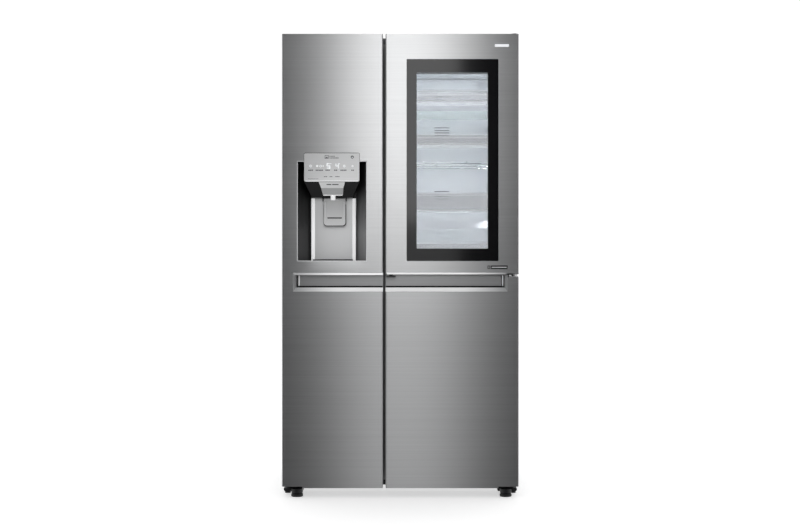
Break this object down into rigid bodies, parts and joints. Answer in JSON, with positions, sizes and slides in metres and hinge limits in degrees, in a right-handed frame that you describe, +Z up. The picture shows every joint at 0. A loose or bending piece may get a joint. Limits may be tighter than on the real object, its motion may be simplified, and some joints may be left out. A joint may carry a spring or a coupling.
{
  "type": "side by side refrigerator",
  "caption": "Side by side refrigerator: hinged freezer and fridge doors with recessed grips, ice and water dispenser, and a glazed outer door over door baskets.",
  "frame": {"origin": "on the floor, under the middle of the overall box", "axes": "+X to the right seen from the front, -Y out of the door fronts, +Z up"},
  "size_m": [0.912, 0.738, 1.79],
  "materials": {
    "case_paint": "satin",
    "foam": "matte",
    "liner_white": "gloss",
    "base_steel": "satin",
    "cover_plastic": "satin",
    "hinge_steel": "satin",
    "bracket_steel": "satin",
    "duct_plastic": "satin",
    "shelf_glass": "polished",
    "trim_plastic": "satin",
    "rack_chrome": "polished",
    "lamp_cover": "satin",
    "compressor_black": "satin",
    "coil_steel": "satin",
    "coil_aluminium": "satin",
    "rear_steel": "satin",
    "rear_box": "satin",
    "valve_plastic": "satin",
    "clear_plastic": "gloss",
    "fan_white": "satin",
    "fan_black": "satin",
    "roller_plastic": "satin",
    "leg_plastic": "satin",
    "door_steel": "satin",
    "door_cap": "satin",
    "door_liner": "gloss",
    "gasket_grey": "matte",
    "handle_metal": "satin",
    "basket_clear": "gloss",
    "recess_black": "satin",
    "panel_silver": "satin",
    "spout_grey": "satin",
    "back_steel": "satin",
    "paddle_grey": "satin",
    "tray_dark": "satin",
    "ice_case": "satin",
    "black_glass": "gloss",
    "window_glass": "polished",
    "latch_black": "satin"
  },
  "bodies": {
    "cabinet": {"outer_case": "case_paint", "insulation": "foam", "freezer_liner": "liner_white", "fridge_liner": "liner_white", "base_frame": "base_steel", "top_cover": "cover_plastic", "top_hinges": "hinge_steel", "bottom_hinges": "bracket_steel", "freezer_duct_panel": "duct_plastic", "fridge_duct_panel": "duct_plastic", "freezer_shelves": "shelf_glass", "fridge_shelves": "shelf_glass", "shelf_trims": "trim_plastic", "bottle_rack": "rack_chrome", "light_covers": "lamp_cover", "compressor": "compressor_black", "condenser": "coil_steel", "evaporator": "coil_aluminium", "machine_cover": "rear_steel", "control_box": "rear_box", "water_valve": "valve_plastic"},
    "freezer_door": {"freezer_door_skin": "door_steel", "freezer_door_core": "door_cap", "freezer_door_liner": "door_liner", "freezer_gasket": "gasket_grey", "freezer_handle": "handle_metal", "freezer_baskets": "basket_clear", "dispenser_housing": "recess_black", "dispenser_panel": "panel_silver", "dispenser_spout": "spout_grey", "dispenser_back": "back_steel", "drip_tray": "tray_dark", "ice_maker": "ice_case"},
    "dispenser_paddle": {"dispenser_paddle": "paddle_grey"},
    "fridge_door": {"fridge_door_skin": "door_steel", "fridge_door_core": "door_cap", "fridge_door_liner": "door_liner", "fridge_gasket": "gasket_grey", "fridge_handle": "handle_metal", "fridge_baskets": "basket_clear", "outer_hinges": "hinge_steel"},
    "outer_door": {"outer_door_skin": "door_steel", "outer_door_core": "door_cap", "outer_door_liner": "door_liner", "outer_gasket": "gasket_grey", "window_border": "black_glass", "window_panes": "window_glass"},
    "latch_lever": {"latch_lever": "latch_black"},
    "crisper_upper": {"crisper_upper": "clear_plastic"},
    "crisper_lower": {"crisper_lower": "clear_plastic"},
    "freezer_drawer_upper": {"freezer_drawer_upper": "clear_plastic"},
    "freezer_drawer_lower": {"freezer_drawer_lower": "clear_plastic"},
    "evaporator_fan": {"evaporator_fan": "fan_white"},
    "condenser_fan": {"condenser_fan": "fan_black"},
    "roller_front_left": {"roller_front_left": "roller_plastic"},
    "roller_front_right": {"roller_front_right": "roller_plastic"},
    "roller_rear_left": {"roller_rear_left": "roller_plastic"},
    "roller_rear_right": {"roller_rear_right": "roller_plastic"},
    "levelling_leg_left": {"levelling_leg_left": "leg_plastic"},
    "levelling_leg_right": {"levelling_leg_right": "leg_plastic"}
  },
  "joints": [
    {"name": "freezer_door_hinge", "type": "hinge", "parent": "cabinet", "child": "freezer_door", "pos_m": [-0.432, -0.285, 0.9], "axis": [0, 0, -1], "range_deg": [0, 110]},
    {"name": "fridge_door_hinge", "type": "hinge", "parent": "cabinet", "child": "fridge_door", "pos_m": [0.432, -0.285, 0.9], "axis": [0, 0, 1], "range_deg": [0, 110]},
    {"name": "outer_door_hinge", "type": "hinge", "parent": "fridge_door", "child": "outer_door", "pos_m": [0.44, -0.35, 1.32], "axis": [0, 0, 1], "range_deg": [0, 110]},
    {"name": "paddle_hinge", "type": "hinge", "parent": "freezer_door", "child": "dispenser_paddle", "pos_m": [-0.255, -0.32, 1.15], "axis": [1, 0, 0], "range_deg": [0, 12], "stiffness_Nm_per_rad": 0.6, "springref_deg": -5.73},
    {"name": "latch_slide", "type": "slide", "parent": "outer_door", "child": "latch_lever", "axis": [0, 0, 1], "range_m": [0, 0.005], "stiffness_N_per_m": 300, "springref_m": -0.003},
    {"name": "crisper_upper_slide", "type": "slide", "parent": "cabinet", "child": "crisper_upper", "axis": [0, -1, 0], "range_m": [0, 0.13]},
    {"name": "crisper_lower_slide", "type": "slide", "parent": "cabinet", "child": "crisper_lower", "axis": [0, -1, 0], "range_m": [0, 0.13]},
    {"name": "freezer_drawer_upper_slide", "type": "slide", "parent": "cabinet", "child": "freezer_drawer_upper", "axis": [0, -1, 0], "range_m": [0, 0.12]},
    {"name": "freezer_drawer_lower_slide", "type": "slide", "parent": "cabinet", "child": "freezer_drawer_lower", "axis": [0, -1, 0], "range_m": [0, 0.12]},
    {"name": "evaporator_fan_spin", "type": "hinge", "parent": "cabinet", "child": "evaporator_fan", "pos_m": [-0.243, 0.251, 0.83], "axis": [0, 1, 0], "continuous": true},
    {"name": "condenser_fan_spin", "type": "hinge", "parent": "cabinet", "child": "condenser_fan", "pos_m": [0.054, 0.25, 0.15], "axis": [1, 0, 0], "continuous": true},
    {"name": "roller_front_left_spin", "type": "hinge", "parent": "cabinet", "child": "roller_front_left", "pos_m": [-0.425, -0.21, 0.0155], "axis": [1, 0, 0], "continuous": true},
    {"name": "roller_front_right_spin", "type": "hinge", "parent": "cabinet", "child": "roller_front_right", "pos_m": [0.425, -0.21, 0.0155], "axis": [1, 0, 0], "continuous": true},
    {"name": "roller_rear_left_spin", "type": "hinge", "parent": "cabinet", "child": "roller_rear_left", "pos_m": [-0.425, 0.3, 0.018], "axis": [1, 0, 0], "continuous": true},
    {"name": "roller_rear_right_spin", "type": "hinge", "parent": "cabinet", "child": "roller_rear_right", "pos_m": [0.425, 0.3, 0.018], "axis": [1, 0, 0], "continuous": true},
    {"name": "levelling_leg_left_screw", "type": "slide", "parent": "cabinet", "child": "levelling_leg_left", "axis": [0, 0, -1], "range_m": [0, 0.012]},
    {"name": "levelling_leg_right_screw", "type": "slide", "parent": "cabinet", "child": "levelling_leg_right", "axis": [0, 0, -1], "range_m": [0, 0.012]}
  ]
}
